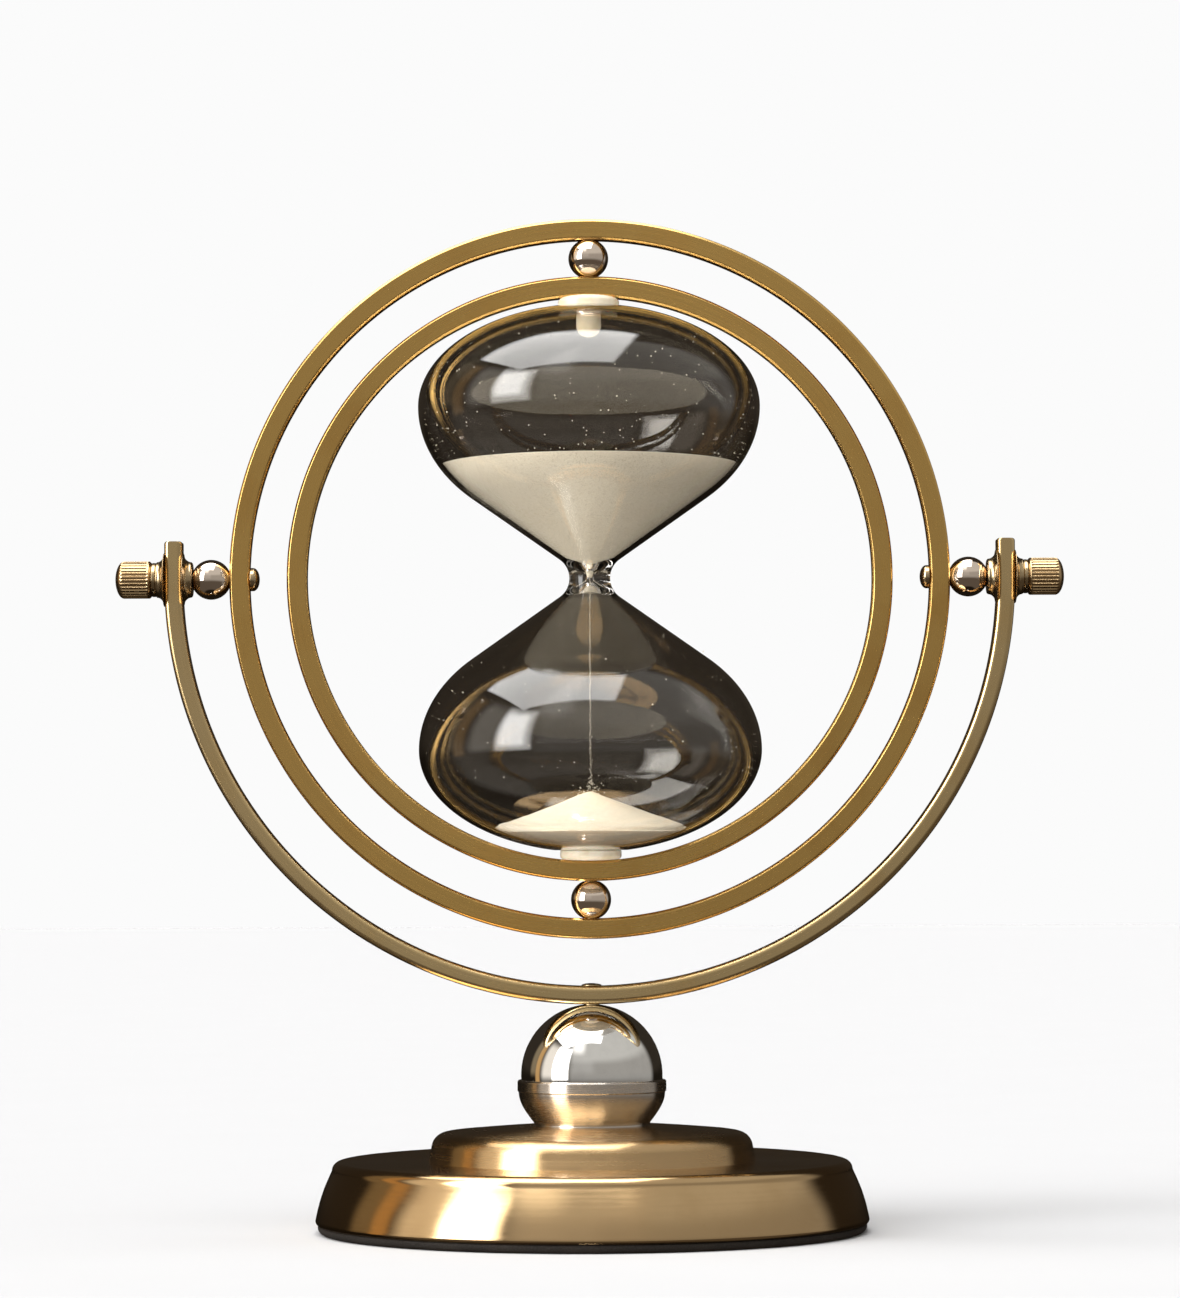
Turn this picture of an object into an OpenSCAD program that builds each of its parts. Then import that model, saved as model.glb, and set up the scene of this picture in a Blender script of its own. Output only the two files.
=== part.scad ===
// Gimballed hourglass: a glass hourglass in two nested rings that tumble in a half-ring yoke.
// The origin is the centre of the base on the table. Z is up, X is the tumble axis, and -Y is the front.

/* [Rings] */
// Outside diameter of the outer ring
outer_ring_d = 180; // [176:0.5:190]
// Radial thickness of both ring bars
ring_bar = 5.1; // [4.8:0.1:5.4]
// Depth of both ring bars, front to back
ring_depth = 5.0; // [4.6:0.1:6]
// Flat chamfer on the ring bars' edges
ring_chamfer = 0.55; // [0.3:0.05:0.9]

/* [Yoke] */
// Radial thickness of the half ring
yoke_bar = 4.6; // [4.2:0.1:5]
// Depth of the half ring, front to back
yoke_depth = 5.8; // [5.2:0.1:7]
// Rounding of the half ring's edges
yoke_round = 1.3; // [0.6:0.1:1.8]
// Height that the arms rise above the tumble axis
arm_rise = 9.5; // [8:0.1:14]

/* [Pivots] */
// Diameter of the polished spacer balls
spacer_d = 10; // [9.4:0.1:10.6]
// Radius of the pivot pins, the axle pins and their threads
pin_r = 1.5; // [1.2:0.05:1.8]
// Length of the collar on the inner side of each arm
inner_collar_l = 2.4; // [2:0.1:3.2]
// Length of the collar on the outer side of each arm
outer_collar_l = 2.2; // [2:0.1:3]
// Radius of a collar's small end
collar_r = 4.45; // [4:0.05:4.8]
// Radius of a collar's flared end, where it meets the arm
collar_flare_r = 6.7; // [6:0.1:7.2]
// Radius of a thumb nut over its knurl
nut_r = 4.65; // [4.2:0.05:5.4]
// Length of a thumb nut without its dome
nut_l = 6.9; // [6:0.1:9]
// Height of a thumb nut's domed end
nut_dome = 2.2; // [1.5:0.1:3]
// Number of flutes around a thumb nut
flutes = 32; // [20:1:36]

/* [Glass] */
// Largest outside radius of each bulb
bulb_r = 42.8; // [41:0.1:43.4]
// Height of that largest radius above the middle of the neck
bulb_mid = 43; // [42.5:0.1:43.5]
// Vertical semi-axis of a bulb's domed end
dome_h = 25.5; // [25:0.1:25.8]
// Vertical semi-axis of a bulb's shoulder
shoulder_h = 31.5; // [30:0.1:33]
// Growth of radius per height along the cone below the shoulder
cone_slope = 1.42; // [1.35:0.01:1.5]
// Outside radius of the neck
neck_r = 5.1; // [4.6:0.1:5.6]
// Wall thickness of the bulbs
glass_wall = 1.2; // [1:0.1:1.8]
// Radius of the hole that meters the sand
orifice_r = 0.8; // [0.6:0.05:1]

/* [Sand] */
// Height of the upper sand's flat surface above the middle of the neck
sand_level = 28.8; // [10:0.1:34]
// Depth of the lower sand's peak below the middle of the neck
mound_peak = 53.3; // [50:0.1:58]
// Drop from the lower sand's peak to its rim at the glass
mound_drop = 8.2; // [4:0.1:9]

/* [Base] */
// Radius of the base at its lower rim
base_r = 68.7; // [66:0.1:80]
// Radius of the base at its shoulder
shoulder_r = 64.6; // [61:0.1:66]
// Height of the base's flat top above the table
base_h = 17.6; // [17:0.1:22]
// Thickness of the dark pad under the base
pad_h = 2.1; // [1.5:0.1:2.6]
// Radius of the step on top of the base, at its foot
step_r = 40.6; // [36:0.1:50]
// Height of the step at its middle, where the cup stands
step_h = 8.6; // [7.2:0.1:9]
// Height of the step at its edge
step_edge_h = 7; // [6:0.1:7.1]
// Radius of the cup's lip
cup_r = 18.5; // [18.4:0.1:19.5]
// Height of the cup, from the step to its lip
cup_h = 11.3; // [10.8:0.1:12]
// Radius of the polished ball under the half ring
ball_r = 17.6; // [17.2:0.1:17.7]

/* [Hidden] */
$fn = 64;

// Clearances
press_gap = 0.02;   // a pin held fast in its hole
running_gap = 0.05; // a pin that turns in its hole
face_gap = 0.1;     // end faces that turn against each other
cut = 1;            // how far a cutter reaches past a face

// Ring radii
outer_ring_r = outer_ring_d / 2;
outer_ring_bore_r = outer_ring_r - ring_bar;
spacer_l = spacer_d - 0.75;
inner_ring_r = outer_ring_bore_r - spacer_l;
inner_ring_bore_r = inner_ring_r - ring_bar;

// Half ring, and the stations along the tumble axis outward from the middle
yoke_inner_r = outer_ring_r + spacer_l + inner_collar_l;
yoke_outer_r = yoke_inner_r + yoke_bar;
yoke_mid_r = yoke_inner_r + yoke_bar / 2;
collar_end_x = yoke_outer_r + outer_collar_l;
washer_l = 0.9;
washer_r = 4.25;
nut_x = collar_end_x + washer_l + face_gap;
nut_bore_l = nut_l - 1;

// Screw heads on the pivot pins, inside the outer ring
head_r = 2.9;
head_h = 2.3;

// The rod that ties the stand together
rod_r = 2;
rod_hole_r = rod_r + running_gap;
rod_head_r = 2.5;
rod_head_h = 0.6;

// Heights of the stand
shell_wall = 1.5;
step_z = base_h;
cup_z = step_z + step_h;
lip_z = cup_z + cup_h;
ball_z = lip_z + 1.1;
yoke_bottom_z = ball_z + sqrt(pow(ball_r, 2) - pow(rod_hole_r, 2)) + face_gap;
axis_z = yoke_bottom_z + yoke_outer_r;
weight_r = base_r - 8;
weight_z = pad_h + 3;
weight_h = base_h - shell_wall - weight_z;
nut_pocket_r = 7;
nut_pocket_h = 5.5;
pocket_top_z = weight_z + nut_pocket_h;
tie_washer_r = 6;
tie_washer_h = 1;
tie_nut_corner_r = 4.04;
tie_nut_h = 3.2;
rod_bottom_z = pad_h + 1.2;

// Glass ends and the caps that hold them
glass_end = bulb_mid + dome_h - 0.6;
plug_hole_r = 3.3;
cap_r = 7.65;
cap_shoulder = 0.9;
cap_top = inner_ring_bore_r - press_gap;
plug_r = 3.1;
plug_tip = 61.1;
axle_depth = 2.2;
sand_gap = 0.12;
stream_r = 0.45;

brass = "#a8874a";
dark_brass = "#8a6f3c";
champagne = "#d8c6b4";
chrome = "#e8e8ea";
steel = "#9a9a9a";
cream = "#f2e8cf";
smoke = [0.35, 0.33, 0.3, 0.35];
dark = "#231a14";

// Points along an arc about [x, y], from angle a to angle b
function arc(x, y, r, a, b, n = 8) =
    [for (i = [0:n]) let (t = a + (b - a) * i / n) [x + r * cos(t), y + r * sin(t)]];

// Points along an ellipse's arc about [x, y], with semi-axes rx and ry
function oval(x, y, rx, ry, a, b, n = 12) =
    [for (i = [0:n]) let (t = a + (b - a) * i / n) [x + rx * cos(t), y + ry * sin(t)]];

// A rectangle of w by h about the origin, with chamfered corners
function chamfered(w, h, c) = [
    [w / 2 - c, -h / 2], [w / 2, -h / 2 + c], [w / 2, h / 2 - c], [w / 2 - c, h / 2],
    [-w / 2 + c, h / 2], [-w / 2, h / 2 - c], [-w / 2, -h / 2 + c], [-w / 2 + c, -h / 2]
];

// A rectangle of w by h about the origin, with rounded corners
function rounded(w, h, r) = concat(
    arc(w / 2 - r, h / 2 - r, r, 0, 90),
    arc(-w / 2 + r, h / 2 - r, r, 90, 180),
    arc(-w / 2 + r, -h / 2 + r, r, 180, 270),
    arc(w / 2 - r, -h / 2 + r, r, 270, 360)
);

// One bulb's outline as [radius, height] from the neck's middle up to the pole, set in by the wall
// thickness: a hollow fillet at the neck, a cone tangent to it, and the two quarter ovals of the bulb.
function bulb_outline(neck, inset) =
    let (
        rx = bulb_r - inset,
        low = shoulder_h - inset,
        high = dome_h - inset,
        lean = atan(cone_slope),
        tangent = atan(cone_slope * low / rx),
        apex = rx * cos(tangent) - cone_slope * (bulb_mid - low * sin(tangent)),
        fillet = (neck - apex) * cos(lean) / (1 - cos(lean))
    )
    concat(
        arc(neck + fillet, 0, fillet, 180, 180 - lean, 8),
        oval(0, bulb_mid, rx, low, -tangent, 0, 12),
        [for (p = oval(0, bulb_mid, rx, high, 0, 90, 18)) if (p[1] > bulb_mid + 0.01) p]
    );

// The profile that a bulb's cavity sweeps, closed on its axis
function cavity_profile(neck, inset) = concat(
    [[0, 0]],
    [for (p = bulb_outline(neck, inset)) if (p[0] > 0.01) p],
    [[0, bulb_mid + dome_h - inset]]
);

// Puts a shape that is built along +Z onto the tumble axis, pointing outward on one side
module on_side(side) {
    translate([0, 0, axis_z]) rotate([0, 90 * side, 0]) children();
}

// Puts a shape that is built along +Z above the middle of the rings, or mirrored below it
module on_pole(up) {
    translate([0, 0, axis_z]) mirror([0, 0, up > 0 ? 0 : 1]) children();
}

// A round rod along +Z from z0 to z1
module rod(r, z0, z1) {
    translate([0, 0, z0]) cylinder(r = r, h = z1 - z0);
}

// A low dome of the given foot radius and height, standing on z = 0
module dome(r, h) {
    ball = (r * r + h * h) / (2 * h);
    reach = asin(r / ball);
    crown = arc(0, h - ball, ball, 90 - reach, 90);
    rotate_extrude() polygon(concat([[0, 0]], [for (p = crown) [max(p[0], 0), p[1]]]));
}

// A ring of chamfered square bar, standing upright in the XZ plane
module bar_ring(r_out) {
    translate([0, 0, axis_z]) rotate([90, 0, 0]) rotate_extrude()
        translate([r_out - ring_bar / 2, 0]) polygon(chamfered(ring_bar, ring_depth, ring_chamfer));
}

// ---- Stand ----

module base_pad() {
    edge = 1.2;
    color(dark) rotate_extrude() polygon(concat(
        [[0, 0]],
        arc(base_r - 0.6 - edge, edge, edge, 270, 360, 5),
        [[base_r - 0.6, pad_h], [0, pad_h]]
    ));
}

module base_weight() {
    color("dimgray") difference() {
        rod(weight_r, weight_z, weight_z + weight_h);
        rod(rod_hole_r, weight_z - cut, base_h);
        rod(nut_pocket_r, weight_z - cut, weight_z + nut_pocket_h);
    }
}

// A spun shell: a rolled rim, a leaning wall, a rounded shoulder and a flat top, open underneath
module base_shell() {
    rim = 1.0;
    bend = 2.2;
    bow = 0.5;
    wall_top_z = base_h - bend;
    outside = concat(
        arc(base_r - rim, pad_h + rim, rim, -80, 0, 5),
        [for (t = [0.2:0.2:0.8]) [base_r + (shoulder_r - base_r) * t + bow * sin(180 * t),
            pad_h + rim + (wall_top_z - pad_h - rim) * t]],
        arc(shoulder_r - bend, base_h - bend, bend, 0, 90, 8)
    );
    inside = concat(
        arc(shoulder_r - bend, base_h - bend, bend - shell_wall, 90, 0, 4),
        [[base_r - rim - shell_wall, pad_h + rim], [base_r - rim - shell_wall, pad_h]]
    );
    color(brass) rotate_extrude() polygon(concat(
        [[rod_hole_r, base_h - shell_wall], [rod_hole_r, base_h]],
        [for (i = [len(outside) - 1:-1:0]) outside[i]],
        [for (i = [len(inside) - 1:-1:0]) inside[i]]
    ));
}

// A turned step with a low dome on top and a rounded edge, hollow underneath around a hub
module base_step() {
    soft = 3.8;
    lean = 0.7;
    hub_r = 12;
    flat_r = 15;
    edge_r = step_r - lean - soft;
    edge_z = step_z + step_edge_h;
    drop = step_h - step_edge_h;
    color(brass) rotate_extrude() polygon(concat(
        [[rod_hole_r, step_z], [hub_r, step_z], [hub_r, cup_z - shell_wall]],
        [[flat_r, cup_z - shell_wall], [edge_r - shell_wall, edge_z - shell_wall]],
        [[step_r - soft - shell_wall, step_z], [step_r, step_z]],
        arc(edge_r, edge_z - soft, soft, 12, 84, 6),
        [for (t = [0.9:-0.15:0.15]) [flat_r + (edge_r - flat_r) * t, cup_z - drop * pow(t, 1.3)]],
        [[flat_r, cup_z], [rod_hole_r, cup_z]]
    ));
}

// A turned cup: a short neck, a bowl that swells to a plain lip, and a spherical seat for the ball
module ball_cup() {
    neck_h = 0.8;
    foot_r = 14.5;
    lip_h = 3;
    belly = lip_z - lip_h;
    bowl_h = belly - cup_z - neck_h;
    waist = 0.15;
    bead = 0.3;
    bowl = [for (t = [0.1:0.1:1]) [sin(90 * t), t]];
    color(brass) difference() {
        rotate_extrude() polygon(concat(
            [[rod_hole_r, cup_z], [foot_r, cup_z]],
            [[foot_r - waist, cup_z + neck_h / 2], [foot_r, cup_z + neck_h]],
            [for (p = bowl) [foot_r + (cup_r - bead - foot_r) * p[0], cup_z + neck_h + bowl_h * p[1]]],
            [[cup_r, belly + bead], [cup_r, lip_z - bead], [cup_r - bead, lip_z], [rod_hole_r, lip_z]]
        ));
        translate([0, 0, ball_z]) sphere(r = ball_r + running_gap);
    }
}

// A polished ball, drilled through and faced flat where it stands on the step
module support_ball() {
    color(chrome) difference() {
        translate([0, 0, ball_z]) sphere(r = ball_r);
        rod(rod_hole_r, ball_z - ball_r - cut, ball_z + ball_r + cut);
        rod(ball_r, ball_z - ball_r - cut, cup_z + running_gap);
    }
}

// A half ring of rounded bar with two straight arms that carry the pivots
module half_ring() {
    tip = 0.4;
    section = rounded(yoke_bar, yoke_depth, yoke_round);
    color(brass) difference() {
        union() {
            translate([0, 0, axis_z]) rotate([90, 0, 0]) rotate([0, 0, 180]) rotate_extrude(angle = 180)
                translate([yoke_mid_r, 0]) polygon(section);
            for (side = [-1, 1]) translate([side * yoke_mid_r, 0, axis_z]) intersection() {
                linear_extrude(height = arm_rise) polygon(section);
                rotate([90, 0, 0]) linear_extrude(height = yoke_depth + cut, center = true)
                    translate([0, arm_rise / 2 - tip])
                        polygon(chamfered(yoke_bar, arm_rise + 2 * tip, tip));
            }
        }
        rod(rod_hole_r, yoke_bottom_z - cut, yoke_bottom_z + yoke_bar + cut);
        for (side = [-1, 1]) on_side(side) rod(pin_r + running_gap, yoke_inner_r - cut, yoke_outer_r + cut);
    }
}

// A turned collar that flares from its small end at z = 0 to the arm's face at z = length
module collar(length) {
    edge = 0.3;
    rim = 0.15;
    flare = collar_flare_r - collar_r;
    color(brass) rotate_extrude() polygon(concat(
        [[pin_r + running_gap, 0], [collar_r - edge, 0]],
        oval(collar_flare_r, edge, flare, length - edge - rim, 180, 90, 7),
        [[collar_flare_r, length], [pin_r + running_gap, length]]
    ));
}

// The inner collar's face follows the half ring's inside, so it beds on the bar
module inner_collar(side) {
    bed_r = yoke_inner_r - press_gap;
    intersection() {
        on_side(side) translate([0, 0, outer_ring_r + spacer_l]) collar(inner_collar_l);
        translate([0, 0, axis_z]) rotate([90, 0, 0])
            cylinder(r = bed_r, h = 3 * collar_flare_r, center = true);
    }
}

module outer_collar(side) {
    on_side(side) translate([0, 0, collar_end_x]) mirror([0, 0, 1]) collar(outer_collar_l);
}

module pivot_washer(side) {
    color(dark_brass) on_side(side) translate([0, 0, collar_end_x]) difference() {
        cylinder(r = washer_r, h = washer_l);
        rod(pin_r + running_gap, -cut, washer_l + cut);
    }
}

// The rod through the whole stand, riveted over as a low dome inside the half ring
module tie_rod() {
    inside_z = yoke_bottom_z + yoke_bar;
    color(brass) {
        rod(rod_r, rod_bottom_z, inside_z + 0.1);
        translate([0, 0, inside_z + 0.05]) dome(rod_head_r, rod_head_h);
    }
}

module tie_washer() {
    color(steel) difference() {
        rod(tie_washer_r, pocket_top_z - tie_washer_h, pocket_top_z);
        rod(rod_hole_r, weight_z - cut, base_h);
    }
}

module tie_nut() {
    color(steel) difference() {
        translate([0, 0, pocket_top_z - tie_washer_h - tie_nut_h])
            cylinder(r = tie_nut_corner_r, h = tie_nut_h, $fn = 6);
        rod(rod_r + press_gap, 0, base_h);
    }
}

// ---- Outer ring ----

module outer_ring() {
    hole_r = pin_r + press_gap;
    color(brass) difference() {
        bar_ring(outer_ring_r);
        for (side = [-1, 1]) on_side(side) rod(hole_r, outer_ring_bore_r - cut, outer_ring_r + cut);
        for (up = [-1, 1]) on_pole(up) rod(hole_r, outer_ring_bore_r - cut, outer_ring_r + cut);
    }
}

// A dome-headed pin from inside the outer ring out to the thumb nut
module pivot_pin(side) {
    color(dark_brass) on_side(side) {
        rod(pin_r, outer_ring_bore_r - 0.6, nut_x + nut_bore_l - 0.5);
        translate([0, 0, outer_ring_bore_r - 0.1]) mirror([0, 0, 1]) {
            cylinder(r = head_r, h = 0.7);
            translate([0, 0, 0.7]) dome(head_r, head_h - 0.7);
        }
    }
}

// A polished ball drilled through and faced flat at both ends
module spacer_ball(length) {
    color(champagne) difference() {
        intersection() {
            sphere(r = spacer_d / 2);
            cube([spacer_d, spacer_d, length], center = true);
        }
        rod(pin_r + press_gap, -spacer_d, spacer_d);
    }
}

module side_spacer_ball(side) {
    on_side(side) translate([0, 0, outer_ring_r + spacer_l / 2]) spacer_ball(spacer_l - face_gap);
}

module pole_spacer_ball(up) {
    on_pole(up) translate([0, 0, inner_ring_r + spacer_l / 2]) spacer_ball(spacer_l - face_gap);
}

// A headless pin, flush in the outer ring, that the inner ring turns on
module axle_pin(up) {
    color(dark_brass) on_pole(up) rod(pin_r, inner_ring_bore_r - axle_depth, outer_ring_r - 0.15);
}

// ---- Inner ring ----

module inner_ring() {
    hole_r = pin_r + running_gap;
    color(brass) difference() {
        bar_ring(inner_ring_r);
        for (up = [-1, 1]) on_pole(up) rod(hole_r, inner_ring_bore_r - cut, inner_ring_r + cut);
    }
}

// A soft cap: a flange that beds on the ring's bore, and a round-nosed plug in the glass's end
module end_cap(up) {
    edge = 0.4;
    foot_z = glass_end + running_gap;
    color(cream) on_pole(up) difference() {
        union() {
            rotate_extrude() polygon([
                [0, foot_z], [cap_r - edge, foot_z], [cap_r, foot_z + edge],
                [cap_r, cap_top - cap_shoulder], [cap_r - cap_shoulder, cap_top], [0, cap_top]
            ]);
            rod(plug_r, plug_tip + plug_r, glass_end + edge);
            translate([0, 0, plug_tip + plug_r]) sphere(r = plug_r);
        }
        rotate([90, 0, 0]) difference() {
            cylinder(r = inner_ring_r, h = 3 * cap_r, center = true);
            cylinder(r = cap_top, h = 4 * cap_r, center = true);
        }
        rod(pin_r + running_gap, inner_ring_bore_r - axle_depth - 0.4, cap_top + cut);
    }
}

// Two bulbs blown as one, thick at the neck, with a plug hole in each end
module glass_bulbs() {
    color(smoke) translate([0, 0, axis_z]) difference() {
        for (up = [0, 1]) mirror([0, 0, up]) intersection() {
            rotate_extrude() polygon(cavity_profile(neck_r, 0));
            cylinder(r = bulb_r + cut, h = glass_end);
        }
        for (up = [0, 1]) mirror([0, 0, up]) rotate_extrude()
            polygon(cavity_profile(orifice_r, glass_wall));
        rod(plug_hole_r, -bulb_mid - dome_h, -bulb_mid);
        rod(plug_hole_r, bulb_mid, bulb_mid + dome_h);
    }
}

// The space inside a bulb that sand can fill, a hair clear of the glass
module sand_space() {
    rotate_extrude() polygon(cavity_profile(orifice_r - sand_gap, glass_wall + sand_gap));
}

module sand_upper() {
    color(cream) translate([0, 0, axis_z]) intersection() {
        sand_space();
        cylinder(r = bulb_r, h = sand_level);
    }
}

// The thread of falling sand
module sand_stream() {
    color(cream) translate([0, 0, axis_z]) rod(stream_r, face_gap / 2 - mound_peak, -face_gap / 2);
}

// A mound whose slope eases off towards a blunt edge that rests on the glass
module sand_lower() {
    rim = 23;
    edge = 0.9;
    edge_z = mound_peak + mound_drop;
    color(cream) translate([0, 0, axis_z]) difference() {
        intersection() {
            mirror([0, 0, 1]) sand_space();
            rotate_extrude() polygon(concat(
                [for (t = [0:0.1:1]) [rim * t, -mound_peak - mound_drop * (1 - pow(1 - t, 1.2))]],
                [[rim + 0.7 * edge, -edge_z - 0.3 * edge], [rim + edge, -edge_z - edge]],
                [[rim + edge, -bulb_mid - dome_h], [0, -bulb_mid - dome_h]]
            ));
        }
        mirror([0, 0, 1]) {
            rod(plug_r + face_gap, plug_tip + plug_r, bulb_mid + dome_h + cut);
            translate([0, 0, plug_tip + plug_r]) sphere(r = plug_r + face_gap);
        }
    }
}

// ---- Thumb nuts ----

// A fluted nut with a domed end and a blind threaded hole
module thumb_nut(side) {
    flute_r = 0.32;
    foot = 0.5;
    color(brass) on_side(side) translate([0, 0, nut_x]) difference() {
        rotate_extrude() polygon(concat(
            [[0, 0], [nut_r - foot, 0], [nut_r, foot]],
            oval(0, nut_l, nut_r, nut_dome, 0, 90, 8)
        ));
        rod(pin_r + running_gap, -cut, nut_bore_l);
        for (i = [0:flutes - 1]) rotate([0, 0, 360 * i / flutes])
            translate([nut_r + 0.08, 0, foot + 0.3]) cylinder(r = flute_r, h = nut_l + nut_dome, $fn = 16);
    }
}

base_pad();
base_weight();
base_shell();
base_step();
ball_cup();
support_ball();
half_ring();
inner_collar(-1);  // left_inner_collar
outer_collar(-1);  // left_outer_collar
inner_collar(1);  // right_inner_collar
outer_collar(1);  // right_outer_collar
pivot_washer(-1);  // left_washer
pivot_washer(1);  // right_washer
tie_rod();
tie_washer();
tie_nut();
outer_ring();
pivot_pin(-1);  // left_pivot_pin
pivot_pin(1);  // right_pivot_pin
side_spacer_ball(-1);  // left_spacer_ball
side_spacer_ball(1);  // right_spacer_ball
pole_spacer_ball(1);  // top_spacer_ball
pole_spacer_ball(-1);  // bottom_spacer_ball
axle_pin(1);  // top_axle_pin
axle_pin(-1);  // bottom_axle_pin
inner_ring();
end_cap(1);  // top_cap
end_cap(-1);  // bottom_cap
glass_bulbs();
sand_upper();
sand_stream();
sand_lower();
thumb_nut(-1);  // left_thumb_nut
thumb_nut(1);  // right_thumb_nut
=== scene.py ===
import math
import random

import bmesh
import bpy
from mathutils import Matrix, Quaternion, Vector


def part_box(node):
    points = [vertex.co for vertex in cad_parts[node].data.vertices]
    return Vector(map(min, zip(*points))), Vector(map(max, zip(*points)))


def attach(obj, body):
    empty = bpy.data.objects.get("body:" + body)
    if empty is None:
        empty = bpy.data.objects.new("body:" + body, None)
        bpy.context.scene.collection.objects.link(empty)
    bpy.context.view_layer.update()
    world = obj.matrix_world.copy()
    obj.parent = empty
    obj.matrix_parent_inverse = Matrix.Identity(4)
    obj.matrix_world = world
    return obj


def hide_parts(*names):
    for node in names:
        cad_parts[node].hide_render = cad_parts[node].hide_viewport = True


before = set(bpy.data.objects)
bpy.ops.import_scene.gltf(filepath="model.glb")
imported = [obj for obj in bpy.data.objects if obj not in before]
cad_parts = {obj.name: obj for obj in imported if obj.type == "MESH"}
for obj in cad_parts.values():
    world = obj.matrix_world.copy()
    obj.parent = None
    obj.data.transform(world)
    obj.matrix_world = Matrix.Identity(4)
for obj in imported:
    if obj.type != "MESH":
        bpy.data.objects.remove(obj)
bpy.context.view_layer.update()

# Lengths are millimetres, unless a name ends in _m. Meshes are scaled to metres as they are made.
MM = 0.001


# ---- Sizes, from the CAD parts ----

def low(node):
    """Lowest corner of a CAD node, in millimetres."""
    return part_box(node)[0] / MM


def high(node):
    """Highest corner of a CAD node, in millimetres."""
    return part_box(node)[1] / MM


def span_x(node):
    """How far from the middle a node that lies on one side starts and ends, along X."""
    return sorted((abs(low(node).x), abs(high(node).x)))


def mirrored_sides():
    """Each side's name with the sign of its X."""
    return (("left", -1), ("right", 1))


def poles():
    """Each pole's name with the sign of its Z."""
    return (("top", 1), ("bottom", -1))


OUTER_R = high("outer_ring").x
INNER_R = high("inner_ring").x
AXIS_Z = high("outer_ring").z - OUTER_R
RING_DEPTH = 2 * high("outer_ring").y
RING_BAR = 5.1
RING_CHAMFER = 0.55
RING_STEPS = 512

YOKE_OUTER_R = high("half_ring").x
YOKE_BAR = 4.6
YOKE_MID_R = YOKE_OUTER_R - YOKE_BAR / 2
YOKE_DEPTH = 2 * high("half_ring").y
YOKE_ROUND = 1.3
YOKE_TIP = 0.4
ARM_TOP = high("half_ring").z - AXIS_Z

PRESS_GAP = 0.02
RUNNING_GAP = 0.05
PIN_R = high("top_axle_pin").x
HOLE_R = PIN_R + RUNNING_GAP
ROD_R = 2.0
ROD_HOLE_R = ROD_R + RUNNING_GAP
LATHE_STEPS = 256
SMALL_STEPS = 96

BULB_R = high("glass_bulbs").x
GLASS_END = high("glass_bulbs").z - AXIS_Z
GLASS_TRIM = 0.6
BULB_MID = 43
DOME_H = GLASS_END + GLASS_TRIM - BULB_MID
SHOULDER_H = 31.5
CONE_SLOPE = 1.42
NECK_R = 5.1
GLASS_WALL = 1.2
ORIFICE_R = 0.8
PLUG_HOLE_R = 3.3
PLUG_R = 3.1
SAND_GAP = 0.12
SAND_LEVEL = high("sand_upper").z - AXIS_Z
MOUND_PEAK = AXIS_Z - high("sand_lower").z
MOUND_DROP = 8.2
MOUND_RIM = 23

CENTRE_M = Vector((0, 0, AXIS_Z * MM))


# ---- Outlines ----

def arc(x, y, radius, start, end, steps=12):
    """Points along a circle's arc, from angle start to angle end in degrees."""
    return oval(x, y, radius, radius, start, end, steps)


def oval(x, y, rx, ry, start, end, steps=12):
    """Points along an ellipse's arc, from angle start to angle end in degrees."""
    points = []
    for i in range(steps + 1):
        angle = math.radians(start + (end - start) * i / steps)
        points.append((x + rx * math.cos(angle), y + ry * math.sin(angle)))
    return points


def between(a, b, share):
    """The point that far along the line from a to b."""
    return (a[0] + (b[0] - a[0]) * share, a[1] + (b[1] - a[1]) * share)


def soften(points, size, steps=5, closed=False):
    """The outline with each corner of more than a few degrees rounded over that length."""
    least_turn = math.radians(12)
    most_share = 0.45
    count = len(points)
    result = []
    for i, here in enumerate(points):
        if not closed and i in (0, count - 1):
            result.append(here)
            continue
        before = points[i - 1]
        after = points[(i + 1) % count]
        length_in = math.dist(before, here)
        length_out = math.dist(here, after)
        turn_in = math.atan2(here[1] - before[1], here[0] - before[0])
        turn_out = math.atan2(after[1] - here[1], after[0] - here[0])
        turn = abs(math.remainder(turn_out - turn_in, 2 * math.pi))
        if turn < least_turn:
            result.append(here)
            continue
        enter = between(here, before, min(size, most_share * length_in) / length_in)
        leave = between(here, after, min(size, most_share * length_out) / length_out)
        for k in range(steps + 1):
            share = k / steps
            result.append(between(between(enter, here, share), between(here, leave, share), share))
    return result


def brace(points, near=0.12, closed=False):
    """The outline with two more points on each long stretch, so that its shading stays flat there."""
    count = len(points)
    result = []
    for i, here in enumerate(points):
        result.append(here)
        if not closed and i == count - 1:
            break
        after = points[(i + 1) % count]
        length = math.dist(here, after)
        if length > 6 * near:
            result.append(between(here, after, near / length))
            result.append(between(after, here, near / length))
    return result


def rectangle(width, height, corner, chamfered):
    """A rectangle about the origin, with chamfered or rounded corners."""
    x = width / 2 - corner
    y = height / 2 - corner
    steps = 1 if chamfered else 8
    points = arc(x, -y, corner, -90, 0, steps)
    points += arc(x, y, corner, 0, 90, steps)
    points += arc(-x, y, corner, 90, 180, steps)
    points += arc(-x, -y, corner, 180, 270, steps)
    return points


# ---- Meshes ----

CREASE = 32


def new_object(name, vertices, faces, sharp=CREASE):
    """A smooth-shaded object, its mesh given in millimetres, with its normals outward."""
    mesh = bpy.data.meshes.new(name)
    mesh.from_pydata([Vector(v) * MM for v in vertices], [], faces)
    work = bmesh.new()
    work.from_mesh(mesh)
    bmesh.ops.recalc_face_normals(work, faces=work.faces)
    work.to_mesh(mesh)
    work.free()
    mesh.shade_smooth()
    mesh.set_sharp_from_angle(angle=math.radians(sharp))
    made = bpy.data.objects.new(name, mesh)
    bpy.context.scene.collection.objects.link(made)
    return made


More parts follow.
